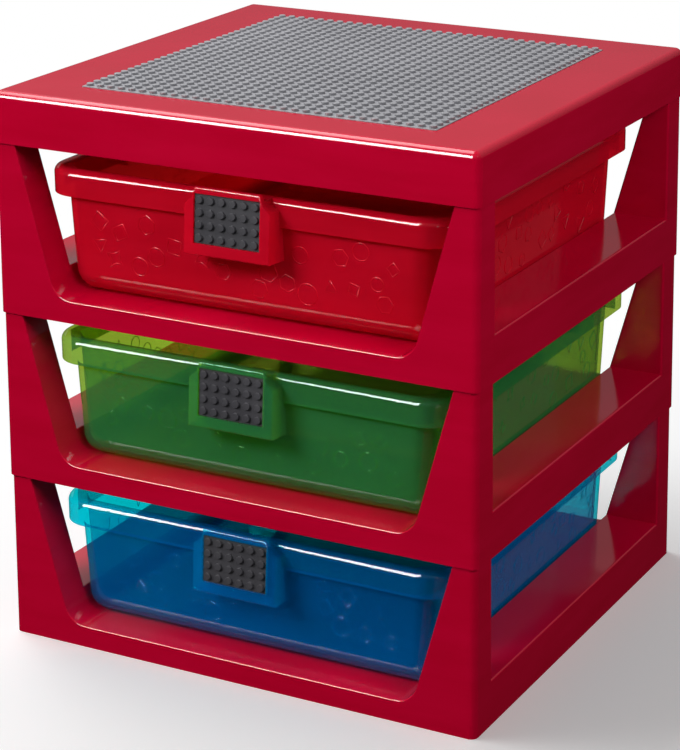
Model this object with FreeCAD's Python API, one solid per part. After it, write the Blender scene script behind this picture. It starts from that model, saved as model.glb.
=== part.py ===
import FreeCAD, Part

import math
import os

os.makedirs("parts", exist_ok=True)

# Drawer rack in millimetres: +X right, +Y back, +Z up, origin at the middle of the base.
# Heights named as levels are measured from the underside of the tier that they belong to.

# Rack outline
rack_width = 349.0
rack_depth = 329.0
tier_pitch = 115.0
tier_colours = ["blue", "green", "red"]
tier_places = ["bottom", "middle", "top"]
tier_draw_in = 1.1
corner_radius = 5.0
wall = 3.0

# Frame moulding
lip_level = 15.0
shelf_level = 31.0
channel_round = 16.0
channel_lean_angle = 15.4
mouth_chamfer = 0.9
post_top_width = 16.0
post_top_depth = 24.0
window_edge_chamfer = 1.6
inner_edge_chamfer = 0.9

# Spigot on each post, which locates the moulding above
spigot_height = 9.0
spigot_inset = 2.0
spigot_gap = 0.3
spigot_draw_in = 0.8
spigot_chamfer = 1.5

# Stiffening ribs under the frames and the cover
rib_thickness = 2.0
rib_lift = 3.0
rib_depth = 14.0
rib_count = 2
rib_spread_share = 0.34

# Cover
cover_height = 34.0
cover_draw_in = 0.8

# Studs and the plates that carry them
stud_spacing = 8.0
stud_radius = 2.45
stud_height = 1.7
stud_side_count = 6
deck_stud_count = 32
deck_stud_step_count = 3
deck_thickness = 3.2
deck_proud = 0.5
deck_gap = 0.25
deck_peg_radius = 3.0
deck_peg_inset = 24.0
peg_gap = 0.15
peg_tip = 1.0

# Drawer body and rim
running_gap = 0.3
drawer_wall = 2.8
drawer_draft_angle = 2.0
drawer_round_ease = 1.0
drawer_inner_chamfer = 9.5
drawer_length = 294.0
drawer_top_level = 99.0
rim_height = 18.0
rim_post_gap = 0.8
rim_end_overhang = 3.7
rim_corner_radius = 22.0
rim_chamfer = 2.9
rim_wall = 2.8
rim_cell_count = 4
rim_web = 2.0

# Handle block on the drawer front, drawn on its leaning front face
handle_level = 60.0
handle_width = 62.0
handle_height = 43.5
handle_reach = 14.5
handle_lean_angle = 4.5
handle_crest_width = 47.0
handle_shoulder_width = 51.0
handle_shoulder_drop = 6.5
handle_shoulder_rise = 4.5
handle_wall = 3.0
handle_back = 2.2
handle_crest_thickness = 4.0
handle_chamfer = 0.8

# Studded plate in the handle
plate_column_count = 6
plate_row_count = 4
plate_thickness = 2.0
plate_sink = 1.3
plate_gap = 0.1
plate_top_margin = 4.0

# Length by which a cutting tool runs past the face that it opens
overrun = 5.0

# Distance within which two places count as one
same_place = 0.001

quarter_turn = 90

half_width = rack_width / 2
half_depth = rack_depth / 2
frame_top_half_width = half_width - tier_draw_in
frame_top_half_depth = half_depth - tier_draw_in
cover_level = tier_pitch * len(tier_places)

channel_slope = math.tan(math.radians(channel_lean_angle))
channel_top_half = frame_top_half_width - post_top_width
window_half = frame_top_half_depth - post_top_depth


def vector(x, y, z):
    return FreeCAD.Vector(x, y, z)


# A box from its two opposite corners
def box(low, high):
    return Part.makeBox(high.x - low.x, high.y - low.y, high.z - low.z, low)


# A prism that stands on the origin, for studs and pegs
def prism(radius, height):
    corners = []
    for index in range(stud_side_count):
        angle = 2 * math.pi * (index + 0.5) / stud_side_count
        corners.append(vector(radius * math.cos(angle), radius * math.sin(angle), 0))
    return Part.Face(Part.makePolygon(corners + corners[:1])).extrude(vector(0, 0, height))


# A prism that runs from front to back
def fronted_prism(radius, x, z, front, length):
    solid = prism(radius, length)
    solid.rotate(vector(0, 0, 0), vector(1, 0, 0), -quarter_turn)
    solid.translate(vector(x, front, z))
    return solid


# The edges of a shape that a test picks by their middle point
def edges_where(shape, test):
    picked = []
    for edge in shape.Edges:
        middle = edge.valueAt((edge.FirstParameter + edge.LastParameter) / 2)
        if test(edge, middle):
            picked.append(edge)
    return picked


def is_near(value, target):
    return abs(value - target) < same_place


# A block with flat leaning sides between two plans, each given as (half width, front, back)
def leaning_block(low_plan, high_plan, low, high):
    low_half, low_front, low_back = low_plan
    high_half, high_front, high_back = high_plan
    block = Part.makeWedge(
        -low_half, low, -low_back, -high_back, -high_half,
        low_half, high, -low_front, -high_front, high_half,
    )
    block.rotate(vector(0, 0, 0), vector(1, 0, 0), quarter_turn)
    return block


def upright_edges(block):
    def is_upright(edge, middle):
        return not is_near(edge.Vertexes[0].Z, edge.Vertexes[1].Z)
    return edges_where(block, is_upright)


def edges_at(block, level):
    def is_level(edge, middle):
        return all(is_near(vertex.Z, level) for vertex in edge.Vertexes)
    return edges_where(block, is_level)


# Evenly spaced places either side of zero
def spread(count, reach):
    if count < 2:
        return [0]
    return [reach * (2 * index / (count - 1) - 1) for index in range(count)]


# Half width of the drawer channel at a level, before its lower corners are rounded
def channel_half(level):
    return channel_top_half - (tier_pitch - level) * channel_slope


channel_lean = math.radians(channel_lean_angle)
channel_centre_level = lip_level + channel_round
channel_centre = channel_half(channel_centre_level) - channel_round / math.cos(channel_lean)


# The channel that a drawer runs in, swept from front to back and grown all round
def channel(grow):
    radius = channel_round + grow
    floor = lip_level - grow
    top = tier_pitch + overrun
    top_half = channel_half(top) + grow / math.cos(channel_lean)
    front = -half_depth - overrun
    turn_end = -channel_lean
    turn_middle = (turn_end - math.pi / 2) / 2

    def on_round(side, angle):
        x = side * (channel_centre + radius * math.cos(angle))
        return vector(x, front, channel_centre_level + radius * math.sin(angle))

    floor_left = vector(-channel_centre, front, floor)
    floor_right = vector(channel_centre, front, floor)
    top_left = vector(-top_half, front, top)
    top_right = vector(top_half, front, top)
    outline = Part.Wire([
        Part.makeLine(floor_left, floor_right),
        Part.Arc(floor_right, on_round(1, turn_middle), on_round(1, turn_end)).toShape(),
        Part.makeLine(on_round(1, turn_end), top_right),
        Part.makeLine(top_right, top_left),
        Part.makeLine(top_left, on_round(-1, turn_end)),
        Part.Arc(on_round(-1, turn_end), on_round(-1, turn_middle), floor_left).toShape(),
    ])
    return Part.Face(outline).extrude(vector(0, rack_depth + 2 * overrun, 0))


# Plan of a tier, drawn in all round by an inset
def tier_plan(inset):
    depth = half_depth - inset
    return half_width - inset, -depth, depth


# The tray and its four posts as solid forms, drawn in all round by an inset
def frame_form(inset, top):
    drawn_in = inset + tier_draw_in * top / tier_pitch
    block = leaning_block(tier_plan(inset), tier_plan(drawn_in), 0, top)
    corners = upright_edges(block)
    if inset > 0:
        block = block.makeChamfer(corner_radius - inset, corners)
    else:
        block = block.makeFillet(corner_radius, corners)
    windows = box(
        vector(-half_width - overrun, -window_half - inset, shelf_level - inset),
        vector(half_width + overrun, window_half + inset, tier_pitch + overrun),
    )
    return block.cut([channel(inset), windows])


# Crossed slabs that become ribs where they lie inside a hollow
def rib_slabs(low, high):
    slabs = []
    for y in spread(rib_count, rib_spread_share * half_depth):
        slabs.append(box(
            vector(-half_width, y - rib_thickness / 2, low),
            vector(half_width, y + rib_thickness / 2, high),
        ))
    for x in spread(rib_count, rib_spread_share * half_width):
        slabs.append(box(
            vector(x - rib_thickness / 2, -half_depth, low),
            vector(x + rib_thickness / 2, half_depth, high),
        ))
    return slabs[0].fuse(slabs[1:])


# The four hollow spigots, one on each post, and their hollows
def spigots():
    low_x = channel_top_half + spigot_inset
    low_y = window_half + spigot_inset
    high_x = half_width - wall - spigot_gap
    high_y = half_depth - wall - spigot_gap
    half_x = (high_x - low_x) / 2
    half_y = (high_y - low_y) / 2
    solids = []
    hollows = []
    for side in (-1, 1):
        for end in (-1, 1):
            middle = vector(side * (low_x + half_x), end * (low_y + half_y), tier_pitch)
            tip_y = half_y - spigot_draw_in
            tip = (half_x - spigot_draw_in, -tip_y, tip_y)
            solid = leaning_block((half_x, -half_y, half_y), tip, 0, spigot_height)
            solid = solid.makeChamfer(spigot_chamfer, upright_edges(solid))
            solid.translate(middle)
            solids.append(solid)
            inner_x = half_x - wall
            inner_y = half_y - wall
            hollow = box(
                vector(-inner_x, -inner_y, -wall - overrun),
                vector(inner_x, inner_y, spigot_height - wall),
            )
            hollow.translate(middle)
            hollows.append(hollow)
    return solids, hollows


# The frame's form with the edges of its channel mouths, shelves and windows chamfered
def eased_form(form):
    post_middle = (shelf_level + tier_pitch) / 2
    face_reach = frame_top_half_depth - same_place

    def on_channel_mouth(edge, middle):
        inside = abs(middle.x) < channel_top_half + same_place
        return inside and abs(middle.y) > face_reach and same_place < middle.z < tier_pitch - same_place

    def on_shelf(edge, middle):
        return is_near(middle.z, shelf_level) and is_near(middle.y, 0)

    def on_window(edge, middle):
        return is_near(abs(middle.y), window_half) and is_near(middle.z, post_middle)

    def is_outer(middle):
        return abs(middle.x) > channel_top_half

    form = form.makeChamfer(mouth_chamfer, edges_where(form, on_channel_mouth))
    form = form.makeChamfer(window_edge_chamfer, edges_where(form, lambda edge, middle: (
        is_outer(middle) and (on_shelf(edge, middle) or on_window(edge, middle))
    )))
    return form.makeChamfer(inner_edge_chamfer, edges_where(form, lambda edge, middle: (
        not is_outer(middle) and (on_shelf(edge, middle) or on_window(edge, middle))
    )))


def make_frame():
    form = frame_form(0, tier_pitch)
    hollow = frame_form(wall, tier_pitch - wall)
    ribs = hollow.common(rib_slabs(rib_lift, shelf_level))
    solids, hollows = spigots()
    frame = eased_form(form).cut(hollow).fuse(solids + [ribs])
    return frame.cut(hollows).removeSplitter()


deck_size = deck_stud_count * stud_spacing
deck_recess = deck_thickness - deck_proud
deck_peg_reach = deck_size / 2 - deck_peg_inset


def deck_peg_places():
    reach = (-deck_peg_reach, deck_peg_reach)
    return [(x, y) for x in reach for y in reach]


def make_cover():
    block = leaning_block(tier_plan(0), tier_plan(cover_draw_in), 0, cover_height)
    block = block.makeFillet(corner_radius, upright_edges(block) + edges_at(block, cover_height))
    floor = cover_height - deck_recess
    recess_half = deck_size / 2 + deck_gap
    recess = box(
        vector(-recess_half, -recess_half, floor),
        vector(recess_half, recess_half, cover_height + overrun),
    )
    bed_half = recess_half + wall
    bed = box(
        vector(-bed_half, -bed_half, floor - wall),
        vector(bed_half, bed_half, cover_height),
    )
    hollow_top = cover_height - wall
    drawn_in = wall + cover_draw_in * hollow_top / cover_height
    hollow = leaning_block(tier_plan(wall), tier_plan(drawn_in), 0, hollow_top)
    hollow = hollow.makeChamfer(corner_radius - wall, upright_edges(hollow)).cut(bed)
    ribs = hollow.common(rib_slabs(floor - wall - rib_depth, cover_height))
    cover = block.cut([recess, hollow]).fuse(ribs)
    holes = []
    for x, y in deck_peg_places():
        hole = prism(deck_peg_radius + peg_gap, 2 * wall)
        hole.translate(vector(x, y, floor - wall - overrun / 2))
        holes.append(hole)
    cover = cover.cut(holes).removeSplitter()
    cover.translate(vector(0, 0, cover_level))
    return cover


# Middles of the modelled studs along one side: every third stud of the full grid
def deck_stud_lines():
    pitch = deck_stud_step_count * stud_spacing
    count = deck_stud_count // deck_stud_step_count
    return spread(count, pitch * (count - 1) / 2)


def make_stud_plate():
    floor = cover_level + cover_height - deck_recess
    plate = box(
        vector(-deck_size / 2, -deck_size / 2, floor),
        vector(deck_size / 2, deck_size / 2, floor + deck_thickness),
    )
    pegs = []
    for x, y in deck_peg_places():
        peg = prism(deck_peg_radius, wall + peg_tip)
        peg.translate(vector(x, y, floor - wall - peg_tip))
        pegs.append(peg)
    studs = []
    for x in deck_stud_lines():
        for y in deck_stud_lines():
            stud = prism(stud_radius, stud_height)
            stud.translate(vector(x, y, floor + deck_thickness))
            studs.append(stud)
    return plate.fuse(pegs + studs)


drawer_base_level = lip_level + running_gap
drawer_round = channel_round - drawer_round_ease
drawer_round_level = drawer_base_level + drawer_round
drawer_slope = math.tan(math.radians(drawer_draft_angle))
rim_level = drawer_top_level - rim_height
rim_front = handle_reach - half_depth
rim_back = rim_front + drawer_length
rim_half = channel_half(rim_level) - rim_post_gap


# Plan of the drawer body at a level, drawn in by an inset
def body_plan(level, inset):
    half_x = channel_centre + drawer_round + (level - drawer_round_level) * drawer_slope - inset
    overhang = rim_end_overhang - (level - rim_level) * drawer_slope + inset
    return half_x, rim_front + overhang, rim_back - overhang


def make_body():
    low = drawer_base_level
    body = leaning_block(body_plan(low, 0), body_plan(drawer_top_level, 0), low, drawer_top_level)
    return body.makeFillet(drawer_round, upright_edges(body) + edges_at(body, low))


def make_inside():
    low = drawer_base_level + drawer_wall
    high = drawer_top_level + overrun
    inside = leaning_block(body_plan(low, drawer_wall), body_plan(high, drawer_wall), low, high)
    return inside.makeChamfer(drawer_inner_chamfer, upright_edges(inside) + edges_at(inside, low))


# Hollows under the rim along both sides of the body, parted by webs
def rim_hollows():
    low_x = body_plan(drawer_top_level, 0)[0]
    high_x = rim_half - rim_wall
    start = rim_front + rim_corner_radius
    run = drawer_length - 2 * rim_corner_radius
    pitch = (run + rim_web) / rim_cell_count
    hollows = []
    for side in (-1, 1):
        for index in range(rim_cell_count):
            near = start + index * pitch
            ends = sorted((side * low_x, side * high_x))
            hollows.append(box(
                vector(ends[0], near, rim_level - overrun),
                vector(ends[1], near + pitch - rim_web, drawer_top_level - rim_wall),
            ))
    return hollows


# The handle is drawn with its front face in the plane Y = 0, then leaned back and set in place
handle_place = FreeCAD.Placement(
    vector(0, -half_depth, handle_level),
    FreeCAD.Rotation(vector(1, 0, 0), -handle_lean_angle),
)
plate_recess = plate_sink + plate_thickness
plate_top = handle_height - plate_top_margin
plate_bottom = plate_top - plate_row_count * stud_spacing
handle_depth = handle_reach + rim_end_overhang + drawer_wall


def placed(shape):
    shape.Placement = handle_place.multiply(shape.Placement)
    return shape


# Front outline of the handle block, drawn in by an inset and carried down past its open end
def handle_face(inset, below):
    side = handle_width / 2 - inset
    shoulder = handle_shoulder_width / 2 - inset
    crest = handle_crest_width / 2 - inset
    shoulder_top = handle_height - handle_shoulder_drop - inset / 2
    shoulder_foot = shoulder_top - handle_shoulder_rise
    right = [(side, -below), (side, shoulder_foot), (shoulder, shoulder_top), (crest, handle_height - inset)]
    left = [(-x, z) for x, z in reversed(right)]
    points = [vector(x, 0, z) for x, z in right + left]
    return Part.Face(Part.makePolygon(points + points[:1]))


# Handle block: a shell that is open below for the fingers, with a thin crest above the rim
def handle_block():
    block = handle_face(0, 0).extrude(vector(0, handle_depth, 0))
    front_edges = edges_where(block, lambda edge, middle: all(is_near(v.Y, 0) for v in edge.Vertexes))
    block = placed(block.makeChamfer(handle_chamfer, front_edges))
    room = handle_width + handle_height
    finger_hollow = handle_face(handle_wall, overrun).extrude(vector(0, room, 0))
    finger_hollow.translate(vector(0, plate_recess + handle_back, 0))
    below_roof = box(
        vector(-room, -rack_depth, 0),
        vector(room, 0, drawer_top_level - handle_wall),
    )
    behind_crest = box(
        vector(-room, handle_crest_thickness, 0),
        vector(room, room, room),
    )
    above_rim = box(
        vector(-room, -rack_depth, drawer_top_level),
        vector(room, 0, drawer_top_level + room),
    )
    return block.cut([
        placed(finger_hollow).common(below_roof),
        placed(behind_crest).common(above_rim),
    ])


def handle_recess():
    half = plate_column_count * stud_spacing / 2
    recess = box(
        vector(-half, -overrun, plate_bottom),
        vector(half, plate_recess, plate_top),
    )
    return placed(recess)


def make_handle_plate():
    half = plate_column_count * stud_spacing / 2 - plate_gap
    plate = box(
        vector(-half, plate_sink, plate_bottom + plate_gap),
        vector(half, plate_recess, plate_top - plate_gap),
    )
    studs = []
    for column in range(plate_column_count):
        for row in range(plate_row_count):
            x = (column + 0.5) * stud_spacing - plate_column_count * stud_spacing / 2
            z = plate_bottom + (row + 0.5) * stud_spacing
            studs.append(fronted_prism(stud_radius, x, z, plate_sink - stud_height, stud_height))
    return placed(plate.fuse(studs))


def make_drawer():
    rim = box(vector(-rim_half, rim_front, rim_level), vector(rim_half, rim_back, drawer_top_level))
    rim = rim.makeFillet(rim_corner_radius, upright_edges(rim))
    rim = rim.makeChamfer(rim_chamfer, edges_at(rim, drawer_top_level))
    rim = rim.cut(rim_hollows())
    drawer = make_body().fuse([rim, handle_block()])
    return drawer.cut([make_inside(), handle_recess()]).removeSplitter()


def export(shape, node):
    solids = shape.Solids
    print(node, "solids", len(solids), "faces", len(shape.Faces), "valid", shape.isValid())
    kept = solids[0] if len(solids) == 1 else Part.makeCompound(solids)
    kept.exportStep("parts/" + node + ".step")


def lifted(shape, height):
    copy = shape.copy()
    copy.translate(vector(0, 0, height))
    return copy


export(make_cover(), "top_cover")
export(make_stud_plate(), "stud_plate")
frame = make_frame()
drawer = make_drawer()
handle_plate = make_handle_plate()
for index, place in enumerate(tier_places):
    level = index * tier_pitch
    colour = tier_colours[index]
    export(lifted(frame, level), place + "_frame")
    export(lifted(drawer, level), colour + "_drawer")
    export(lifted(handle_plate, level), colour + "_handle_plate")
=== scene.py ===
import math

import bmesh
import bpy
from mathutils import Matrix, Vector


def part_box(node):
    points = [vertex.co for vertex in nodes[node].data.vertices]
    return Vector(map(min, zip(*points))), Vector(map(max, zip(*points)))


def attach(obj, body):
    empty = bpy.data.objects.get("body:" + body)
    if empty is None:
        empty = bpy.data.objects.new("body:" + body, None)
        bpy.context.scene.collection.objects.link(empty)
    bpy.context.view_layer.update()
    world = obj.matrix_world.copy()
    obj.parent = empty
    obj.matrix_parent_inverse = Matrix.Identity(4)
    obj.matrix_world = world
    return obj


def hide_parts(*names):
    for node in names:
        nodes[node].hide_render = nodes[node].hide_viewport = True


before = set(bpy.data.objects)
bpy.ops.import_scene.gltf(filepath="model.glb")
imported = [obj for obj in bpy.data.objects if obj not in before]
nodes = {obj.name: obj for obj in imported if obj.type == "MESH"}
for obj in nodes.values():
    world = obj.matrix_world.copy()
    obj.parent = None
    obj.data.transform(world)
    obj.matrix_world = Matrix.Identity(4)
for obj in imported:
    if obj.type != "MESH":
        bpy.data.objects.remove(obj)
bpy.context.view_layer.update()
scene = bpy.context.scene
tiers = [("bottom", "blue"), ("middle", "green"), ("top", "red")]
print("frame loaded:", len(nodes), "nodes")


# A screen colour, 0 to 255, as the linear colour that sockets take
def srgb(red, green, blue):
    linear = []
    for value in (red, green, blue):
        share = value / 255
        linear.append(share / 12.92 if share <= 0.04045 else ((share + 0.055) / 1.055) ** 2.4)
    return (*linear, 1.0)


# Camera, at the photograph's viewing angle
view = {
    "azimuth": 27.11,
    "elevation": 17.08,
    "roll": 0.02,
    "place": (0.7750, -1.4233, 0.7414),
    "focalPixels": 2482.1,
    "centrePixels": (412.4, 262.0),
    "imagePixels": (680, 750),
    "sensor": 36.0,
    "farClip": 20,
}


def addObject(name, data):
    thing = bpy.data.objects.new(name, data)
    scene.collection.objects.link(thing)
    return thing


def makeCamera():
    azimuth, elevation = math.radians(view["azimuth"]), math.radians(view["elevation"])
    back = Vector((
        math.sin(azimuth) * math.cos(elevation),
        -math.cos(azimuth) * math.cos(elevation),
        math.sin(elevation),
    ))
    right = Vector((0, 0, 1)).cross(back).normalized()
    turn = Matrix((right, back.cross(right), back)).transposed().to_4x4()
    roll = Matrix.Rotation(math.radians(view["roll"]), 4, "Z")
    width, height = view["imagePixels"]
    data = bpy.data.cameras.new("camera")
    data.sensor_width = view["sensor"]
    data.lens = view["focalPixels"] * view["sensor"] / height  # the sensor spans the long side
    data.shift_x = (width / 2 - view["centrePixels"][0]) / height
    data.shift_y = (view["centrePixels"][1] - height / 2) / height
    data.clip_end = view["farClip"]
    camera = addObject("camera", data)
    camera.matrix_world = Matrix.Translation(view["place"]) @ turn @ roll
    scene.camera = camera


makeCamera()
print("camera placed")


# Node helpers
def feed(tree, socket, value):
    if isinstance(value, bpy.types.NodeSocket):
        tree.links.new(value, socket)
    else:
        socket.default_value = value


def addNode(tree, kind, settings=None, **inputs):
    node = tree.nodes.new(kind)
    for name, value in (settings or {}).items():
        setattr(node, name, value)
    for name, value in inputs.items():
        feed(tree, node.inputs[name.replace("_", " ")], value)
    return node


def newMaterial(name):
    material = bpy.data.materials.new(name)
    material.use_nodes = True
    tree = material.node_tree
    tree.nodes.clear()
    return material, tree


def nodeMath(tree, operation, first, second):
    node = addNode(tree, "ShaderNodeMath", {"operation": operation})
    for socket, value in zip(node.inputs, (first, second)):
        feed(tree, socket, value)
    return node.outputs[0]


def objectCoords(tree, scale=(1, 1, 1)):
    coords = addNode(tree, "ShaderNodeTexCoord")
    mapping = addNode(tree, "ShaderNodeMapping", Vector=coords.outputs["Object"], Scale=scale)
    return mapping.outputs["Vector"]


def noise(tree, vector, scale, detail):
    node = addNode(tree, "ShaderNodeTexNoise", Vector=vector, Scale=scale, Detail=detail)
    return node.outputs["Fac"]


def ramp(tree, value, start, end, low, high):
    node = addNode(tree, "ShaderNodeMapRange", Value=value)
    for index, number in enumerate((start, end, low, high), 1):
        node.inputs[index].default_value = number
    return node.outputs["Result"]


# Noise gathers round its middle, so its middle part is spread over the range
noiseMiddle = (0.3, 0.7)


def spreadNoise(tree, value, low, high):
    return ramp(tree, value, *noiseMiddle, low, high)


# Where the Mix node keeps its two inputs and its output of each kind
mixSockets = {"FLOAT": (2, 3, 0), "RGBA": (6, 7, 2)}


def mixed(tree, kind, share, first, second):
    node = addNode(tree, "ShaderNodeMix", {"data_type": kind})
    start, end, result = mixSockets[kind]
    for index, value in ((0, share), (start, first), (end, second)):
        feed(tree, node.inputs[index], value)
    return node.outputs[result]


def mixShaders(tree, share, first, second):
    node = addNode(tree, "ShaderNodeMixShader", Fac=share)
    tree.links.new(first.outputs[0], node.inputs[1])
    tree.links.new(second.outputs[0], node.inputs[2])
    return node


# Moulded plastic: slight flow marks in its colour, uneven gloss, fine scuffs and a faint orange-peel surface
def mouldedLook(tree, finish):
    coords = objectCoords(tree)
    flow = noise(tree, objectCoords(tree, finish["flowStretch"]), finish["flowScale"], detail=3)
    colour = mixed(tree, "RGBA", spreadNoise(tree, flow, 0, 1),
                   srgb(*finish["colour"]), srgb(*finish["deepColour"]))
    low, high = (finish["roughness"] * share for share in finish["smears"])
    smears = spreadNoise(tree, noise(tree, coords, finish["smearScale"], detail=4), low, high)
    scratches = noise(tree, objectCoords(tree, finish["scuffStretch"]), finish["scuffScale"], detail=3)
    gloss = nodeMath(tree, "ADD", smears, spreadNoise(tree, scratches, 0, finish["scuffs"]))
    peel = addNode(tree, "ShaderNodeBump", Strength=finish["peel"], Distance=finish["peelHeight"],
                   Height=noise(tree, coords, finish["peelScale"], detail=1))
    return colour, gloss, peel.outputs["Normal"]


def mouldedPlastic(name, finish):
    material, tree = newMaterial(name)
    colour, gloss, normal = mouldedLook(tree, finish)
    shader = addNode(tree, "ShaderNodeBsdfPrincipled", Base_Color=colour, Roughness=gloss, Normal=normal,
                     IOR=finish["bend"], Specular_IOR_Level=finish["specular"])
    addNode(tree, "ShaderNodeOutputMaterial", Surface=shader.outputs["BSDF"])
    return material


# Translucent plastic: walls that glow a little with the light behind them and pass part of it straight on,
# under a clear gloss
def clearPlastic(name, finish):
    material, tree = newMaterial(name)
    colour, gloss, normal = mouldedLook(tree, finish)
    solid = addNode(tree, "ShaderNodeBsdfDiffuse", Color=colour, Normal=normal)
    glow = addNode(tree, "ShaderNodeBsdfTranslucent", Color=srgb(*finish["glow"]), Normal=normal)
    body = mixShaders(tree, finish["glowShare"], solid, glow)
    passed = addNode(tree, "ShaderNodeBsdfTransparent", Color=srgb(*finish["tint"]))
    clouds = noise(tree, objectCoords(tree), finish["cloudScale"], detail=2)
    low, high = finish["clearness"] - finish["clouds"], finish["clearness"] + finish["clouds"]
    wall = mixShaders(tree, spreadNoise(tree, clouds, low, high), body, passed)
    shine = addNode(tree, "ShaderNodeBsdfGlossy", Roughness=gloss, Normal=normal)
    edge = addNode(tree, "ShaderNodeFresnel", IOR=finish["bend"], Normal=normal)
    # the gloss lies on the outside of a wall only, so light that leaves the plastic isn't turned back
    outside = nodeMath(tree, "SUBTRACT", 1.0, addNode(tree, "ShaderNodeNewGeometry").outputs["Backfacing"])
    surface = mixShaders(tree, nodeMath(tree, "MULTIPLY", edge.outputs[0], outside), wall, shine)
    addNode(tree, "ShaderNodeOutputMaterial", Surface=surface.outputs[0])
    return material


# What the plastics share, where one doesn't say otherwise
plain = {
    "flowScale": 14, "flowStretch": (1, 1, 6),
    "roughness": 0.09, "smears": (0.8, 1.2), "smearScale": 24,
    "scuffs": 0.03, "scuffScale": 160, "scuffStretch": (1, 9, 1),
    "peel": 0.03, "peelScale": 900, "peelHeight": 0.0004,
    "bend": 1.49,
}
redPlastic = mouldedPlastic("redPlastic", {
    **plain, "colour": (184, 2, 44), "deepColour": (176, 0, 38), "specular": 0.5,
})
greyPlastic = mouldedPlastic("lightGreyPlastic", {
    **plain, "colour": (184, 184, 189), "deepColour": (178, 178, 183), "roughness": 0.38, "specular": 0.5,
})
darkPlastic = mouldedPlastic("darkGreyPlastic", {
    **plain, "colour": (63, 62, 66), "deepColour": (57, 56, 60), "roughness": 0.4, "specular": 0.15,
})
clear = {
    **plain, "roughness": 0.05, "scuffs": 0.02, "peel": 0.02, "bend": 1.45, "clouds": 0.02, "cloudScale": 9,
}
drawerColours = {
    "red": {
        "colour": (222, 18, 50), "deepColour": (214, 12, 44), "glow": (255, 40, 70),
        "tint": (255, 96, 100), "clearness": 0.32, "glowShare": 0.25,
    },
    "green": {
        "colour": (66, 158, 104), "deepColour": (60, 150, 98), "glow": (150, 230, 90),
        "tint": (231, 249, 140), "clearness": 0.58, "glowShare": 0.35,
    },
    "blue": {
        "colour": (0, 134, 224), "deepColour": (0, 126, 216), "glow": (60, 205, 240),
        "tint": (50, 250, 253), "clearness": 0.72, "glowShare": 0.35,
    },
}
drawerPlastics = {
    colour: clearPlastic(colour + "DrawerPlastic", {**clear, **finish})
    for colour, finish in drawerColours.items()
}
print("materials made")

sameSpot = 1e-6  # points closer than this are one
shading = {
    "flatAngle": math.radians(0.3),
    "smoothAngle": math.radians(50),
    "areaWeight": 100,
}


# The object's mesh with the shading of its flats kept flat beside its rounds
def keepFlats(piece):
    weight = piece.modifiers.new("flats", "WEIGHTED_NORMAL")
    weight.mode = "FACE_AREA"
    weight.weight = shading["areaWeight"]
    weight.keep_sharp = True
    bpy.context.view_layer.update()
    data = bpy.data.meshes.new_from_object(piece.evaluated_get(bpy.context.evaluated_depsgraph_get()))
    piece.modifiers.clear()
    piece.data = data


def shadeByAngle(shape):
    for edge in shape.edges:
        edge.smooth = len(edge.link_faces) == 2 and edge.calc_face_angle(0) < shading["smoothAngle"]
    for face in shape.faces:
        face.smooth = True


# Shades a shape, makes it an object and gives it the place of a CAD node
def dressNode(shape, data, name, node, body):
    shadeByAngle(shape)
    shape.to_mesh(data)
    shape.free()
    piece = addObject(name, data)
    keepFlats(piece)
    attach(piece, body)
    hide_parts(node)
    return piece


tierPitch = 0.115
rimRound = {
    "top": 0.099, "chamfer": 0.0029, "heightSlack": 5e-5, "flatSlack": 1e-5,
    "turn": math.radians(45), "turnSlack": math.radians(4),
    "offset": 0.0019, "segments": 3,
}


# Turns the chamfer round a drawer's rim into a full round
def roundRim(shape, top):
    edges = []
    for edge in shape.edges:
        first, last = (top - vert.co.z for vert in edge.verts)
        flat = abs(first - last) < rimRound["flatSlack"]
        along = min(abs(first), abs(first - rimRound["chamfer"])) < rimRound["heightSlack"]
        turned = abs(edge.calc_face_angle(0) - rimRound["turn"]) < rimRound["turnSlack"]
        if flat and along and turned and len(edge.link_faces) == 2:
            edges.append(edge)
    print("rim edges rounded:", len(edges))
    bmesh.ops.bevel(shape, geom=edges, offset=rimRound["offset"], segments=rimRound["segments"],
                    affect="EDGES", profile=0.5)


# A CAD node's shape with its triangles joined and its rounds and chamfers shaded smooth
def smoothCopy(node, name, body, material, rimTop=None):
    data = nodes[node].data.copy()
    if "custom_normal" in data.attributes:
        data.attributes.remove(data.attributes["custom_normal"])
    data.materials.clear()
    data.materials.append(material)
    shape = bmesh.new()
    shape.from_mesh(data)
    bmesh.ops.remove_doubles(shape, verts=shape.verts, dist=sameSpot)
    bmesh.ops.dissolve_limit(shape, angle_limit=shading["flatAngle"], verts=shape.verts, edges=shape.edges)
    if rimTop:
        roundRim(shape, rimTop)
    dressNode(shape, data, name, node, body)


smoothCopy("top_cover", "coverShell", "rack", redPlastic)
for level, (place, colour) in enumerate(tiers):
    smoothCopy(place + "_frame", place + "FrameShell", "rack", redPlastic)
    smoothCopy(colour + "_drawer", colour + "DrawerShell", colour + "_drawer",
               drawerPlastics[colour], rimRound["top"] + level * tierPitch)
print("shells smoothed")

# Studs at the pitch of building bricks
studs = {
    "pitch": 0.008,
    "radius": 0.00245,
    "height": 0.0017,
    "round": 0.0003,
    "easeSegments": 2,
}


# A geometry tree with named inputs; returns the tree and its input sockets
def newTree(name, inputs):
    tree = bpy.data.node_groups.new(name, "GeometryNodeTree")
    tree.interface.new_socket("Geometry", in_out="INPUT", socket_type="NodeSocketGeometry")
    for label, kind in inputs.items():
        tree.interface.new_socket(label, in_out="INPUT", socket_type="NodeSocket" + kind)
    tree.interface.new_socket("Geometry", in_out="OUTPUT", socket_type="NodeSocketGeometry")
    return tree, tree.nodes.new("NodeGroupInput").outputs


def joined(tree, *parts):
    node = tree.nodes.new("GeometryNodeJoinGeometry")
    for part in parts:
        tree.links.new(part, node.inputs[0])
    return node.outputs[0]


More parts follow.
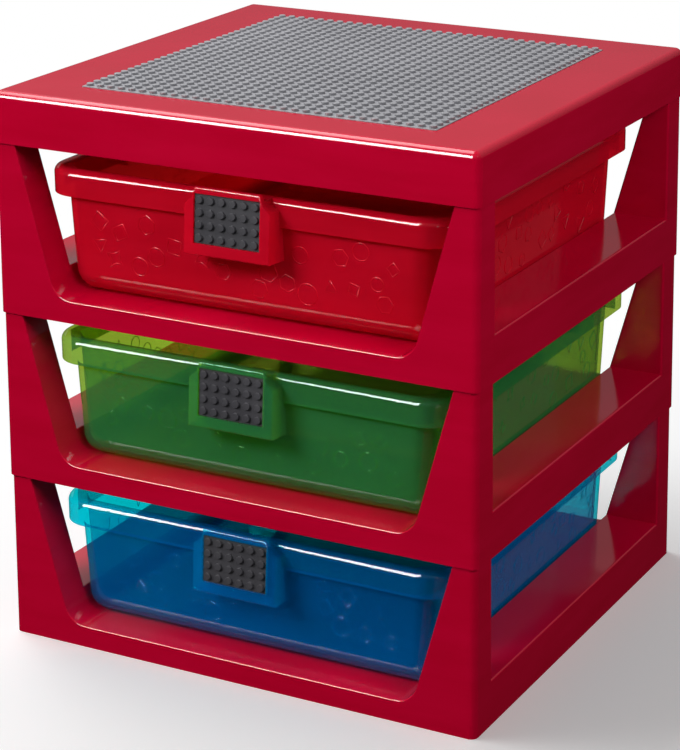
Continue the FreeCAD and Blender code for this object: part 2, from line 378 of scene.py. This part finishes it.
def endTree(tree, geometry, material):
    real = addNode(tree, "GeometryNodeRealizeInstances", Geometry=geometry)
    finish = addNode(tree, "GeometryNodeSetMaterial", Geometry=real.outputs[0], Material=material)
    tree.links.new(finish.outputs[0], tree.nodes.new("NodeGroupOutput").inputs[0])
    return tree


# A grid of studs on top of a block, each a wall with an eased rim
def studTree(name, material):
    tree, given = newTree(name, {
        "Columns": "Int", "Rows": "Int", "Pitch": "Float", "Radius": "Float", "Height": "Float",
        "Round": "Float", "Sides": "Int",
    })
    spans = [
        nodeMath(tree, "MULTIPLY", nodeMath(tree, "SUBTRACT", given[label], 1), given["Pitch"])
        for label in ("Columns", "Rows")
    ]
    grid = addNode(tree, "GeometryNodeMeshGrid", Size_X=spans[0], Size_Y=spans[1],
                   Vertices_X=given["Columns"], Vertices_Y=given["Rows"])
    wallTop = nodeMath(tree, "SUBTRACT", given["Height"], given["Round"])
    capRadius = nodeMath(tree, "SUBTRACT", given["Radius"], given["Round"])
    wall = addNode(tree, "GeometryNodeMeshCylinder", {"fill_type": "NONE"}, Vertices=given["Sides"],
                   Radius=given["Radius"], Depth=wallTop)
    wallPlace = addNode(tree, "ShaderNodeCombineXYZ", Z=nodeMath(tree, "MULTIPLY", wallTop, 0.5))
    wall = addNode(tree, "GeometryNodeTransform",
                   Geometry=wall.outputs["Mesh"], Translation=wallPlace.outputs[0])
    cap = addNode(tree, "GeometryNodeMeshCone", {"fill_type": "NGON"}, Vertices=given["Sides"],
                  Radius_Top=capRadius, Radius_Bottom=given["Radius"], Depth=given["Round"])
    # the cone's own lower disc would lie inside the stud
    position = addNode(tree, "GeometryNodeInputPosition")
    height = addNode(tree, "ShaderNodeSeparateXYZ", Vector=position.outputs[0])
    low = addNode(tree, "FunctionNodeCompare", {"operation": "LESS_THAN"}, A=height.outputs["Z"], B=sameSpot)
    cap = addNode(tree, "GeometryNodeDeleteGeometry", {"domain": "FACE", "mode": "ONLY_FACE"},
                  Geometry=cap.outputs["Mesh"], Selection=low.outputs[0])
    capPlace = addNode(tree, "ShaderNodeCombineXYZ", Z=wallTop)
    cap = addNode(tree, "GeometryNodeTransform", Geometry=cap.outputs[0], Translation=capPlace.outputs[0])
    merged = addNode(tree, "GeometryNodeMergeByDistance",
                     Geometry=joined(tree, wall.outputs[0], cap.outputs[0]), Distance=sameSpot)
    placed = addNode(tree, "GeometryNodeInstanceOnPoints",
                     Points=grid.outputs["Mesh"], Instance=merged.outputs[0])
    return endTree(tree, joined(tree, placed.outputs[0], given["Geometry"]), material)


# Runs a geometry tree on a starting mesh and keeps the result as a plain mesh
def grown(name, start, tree, values):
    source = addObject(name + "Source", start)
    modifier = source.modifiers.new("grow", "NODES")
    modifier.node_group = tree
    sockets = {item.name: item.identifier for item in tree.interface.items_tree if item.in_out == "INPUT"}
    for label, value in values.items():
        modifier[sockets[label]] = value
    bpy.context.view_layer.update()
    evaluated = source.evaluated_get(bpy.context.evaluated_depsgraph_get())
    data = bpy.data.meshes.new_from_object(evaluated)
    bpy.data.objects.remove(source)
    return data


# A block between two corners with all its edges eased
def easedBlock(low, high, ease):
    shape = bmesh.new()
    bmesh.ops.create_cube(shape, size=1)
    middle, size = (low + high) / 2, high - low
    for vert in shape.verts:
        vert.co = Vector(a * b for a, b in zip(vert.co, size)) + middle
    bmesh.ops.bevel(shape, geom=shape.edges[:], offset=ease, segments=studs["easeSegments"],
                    affect="EDGES", profile=0.5)
    data = bpy.data.meshes.new("block")
    shape.to_mesh(data)
    shape.free()
    return data


# A studded plate, grown flat with its face at height zero, then set in place
def makeStudded(name, plate, tree, node, body):
    half = Vector((plate["columns"], plate["rows"], 0)) * studs["pitch"] / 2
    half -= Vector((plate["gap"], plate["gap"], 0))
    start = easedBlock(-half - Vector((0, 0, plate["thickness"])), half, plate["ease"])
    data = grown(name, start, tree, {
        "Columns": plate["columns"], "Rows": plate["rows"], "Sides": plate["sides"],
        "Pitch": studs["pitch"], "Radius": studs["radius"],
        "Height": studs["height"], "Round": studs["round"],
    })
    turn = Matrix.Rotation(math.radians(plate["turn"]), 4, "X")
    data.transform(Matrix.Translation(plate["middle"]) @ turn)
    shape = bmesh.new()
    shape.from_mesh(data)
    return dressNode(shape, data, name, node, body)


deck = {
    "columns": 32, "rows": 32, "gap": 0, "thickness": 0.0032, "ease": 0.0004, "sides": 14,
    "middle": (0, 0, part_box("stud_plate")[1].z - studs["height"]), "turn": 0,
}
deckStuds = studTree("deckStuds", greyPlastic)
studDeck = makeStudded("studDeck", deck, deckStuds, "stud_plate", "rack")
print("deck studded")

# The handle plates lean back with the handle blocks that they sit in
handlePlate = {
    "columns": 6, "rows": 4, "gap": 0.0001, "thickness": 0.002, "ease": 0.00025, "sides": 24,
    "front": -0.16136, "height": 0.08333, "turn": 90 - 4.5,
}
handleStuds = studTree("handleStuds", darkPlastic)
for level, (_, colour) in enumerate(tiers):
    middle = (0, handlePlate["front"], handlePlate["height"] + level * tierPitch)
    makeStudded(colour + "HandleStuds", {**handlePlate, "middle": middle},
                handleStuds, colour + "_handle_plate", colour + "_drawer")
print("handles studded")

# Shallow raised outlines scattered over the drawer walls: rings, triangles, squares, hexagons and stars
relief = {
    "foot": 0.037, "top": 0.073, "slope": math.tan(math.radians(2)),
    "front": -0.14476, "back": 0.13876, "side": 0.13291,
    "frontHalf": 0.110, "sideHalf": 0.116, "holdHalf": 0.039, "holdFoot": 0.052,
    "spacing": 0.0135, "density": 9000.0, "smallest": 0.0046, "largest": 0.0074,
    "sides": (3, 4, 6, 14), "starPoints": 4, "starInner": 0.45, "line": 0.0004, "lineSides": 4, "seed": 11,
}


# Flat patches on the drawer's outer walls, where the middles of the outlines may lie
def reliefCanvas(level):
    base = level * tierPitch

    def out(height):
        return (height - relief["foot"]) * relief["slope"]

    def front(x, z):
        return (x, relief["front"] - out(z), z + base)

    def back(x, z):
        return (-x, relief["back"] + out(z), z + base)

    def right(y, z):
        return (relief["side"] + out(z), y, z + base)

    def left(y, z):
        return (-relief["side"] - out(z), -y, z + base)

    foot, top, half, side = relief["foot"], relief["top"], relief["frontHalf"], relief["sideHalf"]
    hold, under = relief["holdHalf"], relief["holdFoot"]
    points, faces = [], []
    for wall, start, end, high in (
        (front, -half, -hold, top), (front, hold, half, top), (front, -hold, hold, under),
        (back, -half, half, top), (right, -side, side, top), (left, -side, side, top),
    ):
        first = len(points)
        points += [wall(start, foot), wall(end, foot), wall(end, high), wall(start, high)]
        faces.append(range(first, first + 4))
    data = bpy.data.meshes.new("canvas")
    data.from_pydata(points, [], faces)
    return data


def reliefTree(name, material):
    tree, given = newTree(name, {
        "Spacing": "Float", "Density": "Float", "Smallest": "Float", "Largest": "Float",
        "Line": "Float", "Seed": "Int",
    })
    spots = addNode(tree, "GeometryNodeDistributePointsOnFaces", {"distribute_method": "POISSON"},
                    Mesh=given["Geometry"], Distance_Min=given["Spacing"], Density_Max=given["Density"],
                    Seed=given["Seed"])
    kinds = tree.nodes.new("GeometryNodeGeometryToInstance")
    for sides in relief["sides"]:
        circle = addNode(tree, "GeometryNodeCurvePrimitiveCircle", Resolution=sides, Radius=1.0)
        tree.links.new(circle.outputs["Curve"], kinds.inputs[0])
    star = addNode(tree, "GeometryNodeCurveStar", Points=relief["starPoints"],
                   Inner_Radius=relief["starInner"], Outer_Radius=1.0)
    tree.links.new(star.outputs["Curve"], kinds.inputs[0])

    def chance(kind, low, high, shift):
        node = addNode(tree, "FunctionNodeRandomValue", {"data_type": kind},
                       Seed=nodeMath(tree, "ADD", given["Seed"], shift))
        limits = [socket for socket in node.inputs if socket.enabled and socket.name in ("Min", "Max")]
        for socket, value in zip(limits, (low, high)):
            feed(tree, socket, value)
        return next(socket for socket in node.outputs if socket.enabled)

    spin = addNode(tree, "ShaderNodeCombineXYZ", Z=chance("FLOAT", 0.0, math.tau, shift=1))
    turn = addNode(tree, "FunctionNodeEulerToRotation", Euler=spin.outputs[0])
    facing = addNode(tree, "FunctionNodeRotateRotation", {"rotation_space": "LOCAL"},
                     Rotation=spots.outputs["Rotation"], Rotate_By=turn.outputs[0])
    size = chance("FLOAT", given["Smallest"], given["Largest"], shift=2)
    scattered = addNode(tree, "GeometryNodeInstanceOnPoints", Points=spots.outputs["Points"],
                        Instance=kinds.outputs[0], Pick_Instance=True,
                        Instance_Index=chance("INT", 0, len(relief["sides"]), shift=3),
                        Rotation=facing.outputs[0], Scale=size)
    outlines = addNode(tree, "GeometryNodeRealizeInstances", Geometry=scattered.outputs[0])
    bead = addNode(tree, "GeometryNodeCurvePrimitiveCircle",
                   Resolution=relief["lineSides"], Radius=given["Line"])
    raised = addNode(tree, "GeometryNodeCurveToMesh",
                     Curve=outlines.outputs[0], Profile_Curve=bead.outputs["Curve"])
    return endTree(tree, raised.outputs[0], material)


for level, (_, colour) in enumerate(tiers):
    outlineTree = reliefTree(colour + "Relief", drawerPlastics[colour])
    data = grown(colour + "Relief", reliefCanvas(level), outlineTree, {
        "Spacing": relief["spacing"], "Density": relief["density"], "Smallest": relief["smallest"],
        "Largest": relief["largest"], "Line": relief["line"], "Seed": relief["seed"] + level,
    })
    piece = addObject(colour + "Relief", data)
    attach(piece, colour + "_drawer")
    print(colour, "relief raised:", len(data.polygons), "faces")

# Floor, lamps and the white surroundings
room = {
    "floorSize": 12.0,
    "floorColour": (250, 250, 250),
    "floorBounce": (58, 58, 58),
    "floorGlow": 0.25,
    "floorReflected": 0.01,
    "floorMiddle": (0.28, -0.14, 0.0),
    "floorFade": (0.42, 0.85),
    "worldLight": 0.22,
    "reflectedLow": 0.01,
    "reflectedHigh": 0.30,
    "reflectedBack": 0.09,
    "reflectedPanel": 0.40,
    "skyHeight": (0.0, 0.7),
    "panelSide": (-0.42, -0.56),
    "panelFoot": (0.25, 0.29),
    "panelFront": (0.2, 0.5),
    "key": {"place": (-1.0, -1.7, 1.55), "aim": (0, 0, 0.3), "size": (1.1, 0.6), "power": 44},
    "glint": {"place": (-1.25, -2.45, 1.55), "aim": (0, 0, 0.2), "size": (1.5, 1.4), "power": 210},
    "overhead": {"place": (-0.8, 0.0, 2.0), "aim": (0, 0, 0.3), "size": (1.5, 1.0), "power": 29},
    "side": {"place": (1.15, -0.5, 1.0), "aim": (0, 0, 0.3), "size": (0.6, 0.4), "power": 10},
}


def addLamp(name, lamp):
    data = bpy.data.lights.new(name, "AREA")
    data.shape = "RECTANGLE"
    data.size, data.size_y = lamp["size"]
    data.energy = lamp["power"]
    light = addObject(name, data)
    place, aim = Vector(lamp["place"]), Vector(lamp["aim"])
    facing = (aim - place).to_track_quat("-Z", "Y").to_matrix().to_4x4()
    light.matrix_world = Matrix.Translation(place) @ facing
    return light


# White to the eye; what the gloss mirrors is dark below, paler above and at the rear, palest at the left rear
def makeWorld():
    world = bpy.data.worlds.new("studio")
    world.use_nodes = True
    scene.world = world
    tree = world.node_tree
    tree.nodes.clear()
    coords = addNode(tree, "ShaderNodeTexCoord")
    way = addNode(tree, "ShaderNodeSeparateXYZ", Vector=coords.outputs["Generated"])
    sky = ramp(tree, way.outputs["Z"], *room["skyHeight"], room["reflectedLow"], room["reflectedHigh"])
    panel = ramp(tree, way.outputs["X"], *room["panelSide"], 0, room["reflectedPanel"])
    panel = nodeMath(tree, "MULTIPLY", panel, ramp(tree, way.outputs["Z"], *room["panelFoot"], 0, 1))
    panel = nodeMath(tree, "ADD", panel, room["reflectedBack"])
    behind = ramp(tree, way.outputs["Y"], *room["panelFront"], 0, 1)
    mirrored = nodeMath(tree, "ADD", sky, nodeMath(tree, "MULTIPLY", panel, behind))
    path = addNode(tree, "ShaderNodeLightPath")
    seen = nodeMath(tree, "MAXIMUM", path.outputs["Is Camera Ray"], path.outputs["Is Transmission Ray"])
    strength = mixed(tree, "FLOAT", path.outputs["Is Glossy Ray"], room["worldLight"], mirrored)
    light = addNode(tree, "ShaderNodeBackground", Color=srgb(255, 255, 255),
                    Strength=mixed(tree, "FLOAT", seen, strength, 1.0))
    addNode(tree, "ShaderNodeOutputWorld", Surface=light.outputs[0])


def makeFloor():
    half = room["floorSize"] / 2
    data = bpy.data.meshes.new("floor")
    corners = [(-half, -half, 0), (half, -half, 0), (half, half, 0), (-half, half, 0)]
    data.from_pydata(corners, [], [(0, 1, 2, 3)])
    floor = addObject("floor", data)
    material, tree = newMaterial("paper")
    paper = addNode(tree, "ShaderNodeBsdfDiffuse", Color=srgb(*room["floorColour"]))
    glow = addNode(tree, "ShaderNodeEmission", Strength=room["floorGlow"])
    lit = addNode(tree, "ShaderNodeAddShader")
    tree.links.new(paper.outputs[0], lit.inputs[0])
    tree.links.new(glow.outputs[0], lit.inputs[1])
    # further out the paper fades to plain white
    white = addNode(tree, "ShaderNodeEmission", Strength=1.0)
    reach = addNode(tree, "ShaderNodeVectorMath", {"operation": "DISTANCE"})
    tree.links.new(addNode(tree, "ShaderNodeTexCoord").outputs["Object"], reach.inputs[0])
    reach.inputs[1].default_value = room["floorMiddle"]
    seen = mixShaders(tree, ramp(tree, reach.outputs["Value"], *room["floorFade"], 0, 1), lit, white)
    bounce = addNode(tree, "ShaderNodeBsdfDiffuse", Color=srgb(*room["floorBounce"]))
    mirrored = addNode(tree, "ShaderNodeEmission", Strength=room["floorReflected"])
    path = addNode(tree, "ShaderNodeLightPath")
    unseen = mixShaders(tree, path.outputs["Is Glossy Ray"], bounce, mirrored)
    surface = mixShaders(tree, path.outputs["Is Camera Ray"], unseen, seen)
    addNode(tree, "ShaderNodeOutputMaterial", Surface=surface.outputs[0])
    data.materials.append(material)
    return floor


makeWorld()
floor = makeFloor()
key = addLamp("keyLamp", room["key"])
glint = addLamp("glintLamp", room["glint"])
addLamp("overheadLamp", room["overhead"])
side = addLamp("sideLamp", room["side"])
glint.visible_diffuse = False  # only the gloss sees it, so it draws the bright lines on the edges
key.visible_glossy = False
side.visible_glossy = False
# the front lamps leave the floor and the deck alone, so the overhead lamp's shadows stay on them
overheadOnly = bpy.data.collections.new("overheadOnly")
for index, thing in enumerate((floor, studDeck)):
    overheadOnly.objects.link(thing)
    overheadOnly.collection_objects[index].light_linking.link_state = "EXCLUDE"
for lamp in (key, side, glint):
    lamp.light_linking.receiver_collection = overheadOnly
scene.view_settings.view_transform = "Standard"
print("room lit")
